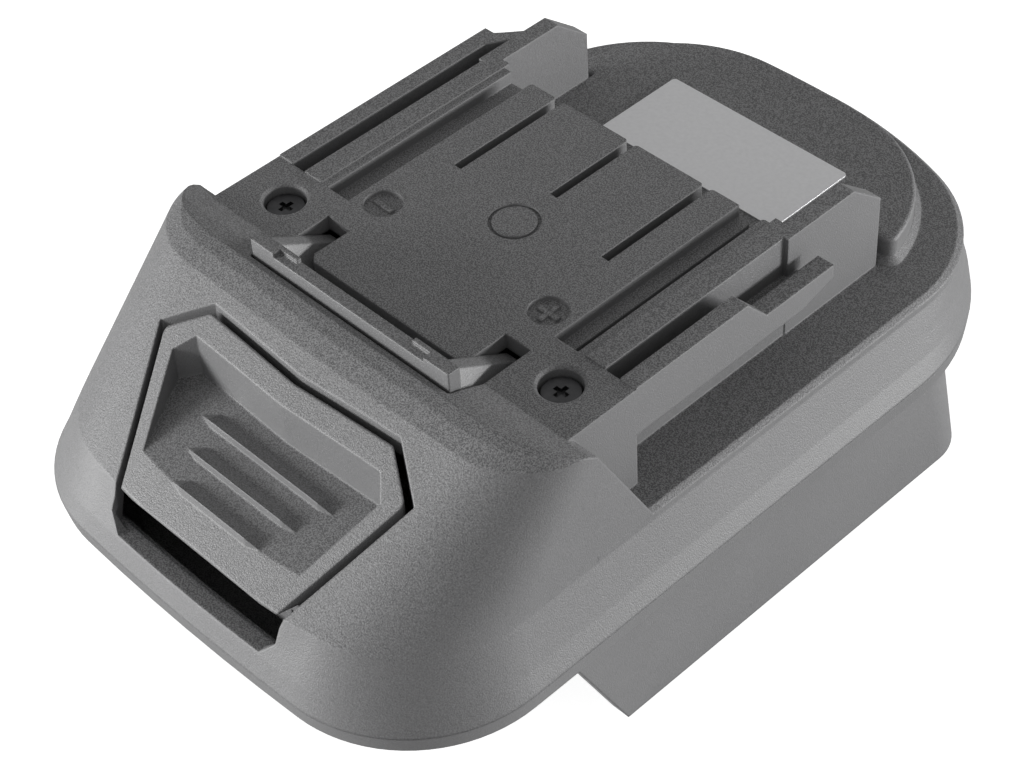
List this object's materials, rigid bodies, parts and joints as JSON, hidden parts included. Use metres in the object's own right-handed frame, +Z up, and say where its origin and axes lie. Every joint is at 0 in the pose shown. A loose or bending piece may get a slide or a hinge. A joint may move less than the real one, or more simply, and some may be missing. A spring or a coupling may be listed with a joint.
{
  "type": "tool battery adapter",
  "caption": "Adapter that slides under a cordless tool by its top rails and takes a slide-in battery in the skirted socket below, with a sprung thumb button that drops the latch bar.",
  "frame": {"origin": "middle of the footprint, on the plane that the socket skirt stands on", "axes": "+X to the right seen from the button end, +Y from the button end to the open end of the top rails, +Z up"},
  "size_m": [0.0752, 0.1163, 0.0562],
  "materials": {
    "housing_plastic": "charcoal moulded plastic with a fine spark-eroded grain",
    "latch_plastic": "charcoal moulded plastic, slightly smoother",
    "label_foil": "satin silver foil, left bare",
    "insulator": "black terminal moulding",
    "contact_metal": "nickel-plated spring copper",
    "screw_steel": "black-plated steel",
    "spring_steel": "bright spring wire",
    "board_laminate": "green solder mask",
    "capacitor_can": "aluminium can",
    "resistor_body": "black chip",
    "lead_red": "red insulation",
    "lead_black": "black insulation",
    "lead_white": "white insulation"
  },
  "bodies": {
    "housing": {"upper_housing": "housing_plastic", "lower_housing": "housing_plastic", "label_plate": "label_foil", "lower_terminal_block": "insulator", "positive_blade": "contact_metal", "negative_blade": "contact_metal", "signal_blade": "contact_metal", "latch_spring_left": "spring_steel", "latch_spring_right": "spring_steel", "circuit_board": "board_laminate", "smoothing_capacitor": "capacitor_can", "sense_resistor": "resistor_body", "board_screws": "screw_steel", "top_contact_carrier": "insulator", "carrier_screws": "screw_steel", "positive_jaw": "contact_metal", "negative_jaw": "contact_metal", "signal_jaw": "contact_metal", "positive_lead": "lead_red", "negative_lead": "lead_black", "signal_lead": "lead_white", "terminal_block_screws": "screw_steel", "deck_screws": "screw_steel", "housing_screws": "screw_steel"},
    "latch": {"latch_button": "latch_plastic", "latch_bar": "latch_plastic", "latch_screws": "screw_steel"}
  },
  "joints": [
    {"name": "latch_press", "type": "slide", "parent": "housing", "child": "latch", "axis": [0, 0, -1], "range_m": [0, 0.0048], "stiffness_N_per_m": 1200, "springref_m": -0.003, "deforming": ["latch_spring_left", "latch_spring_right"]}
  ]
}
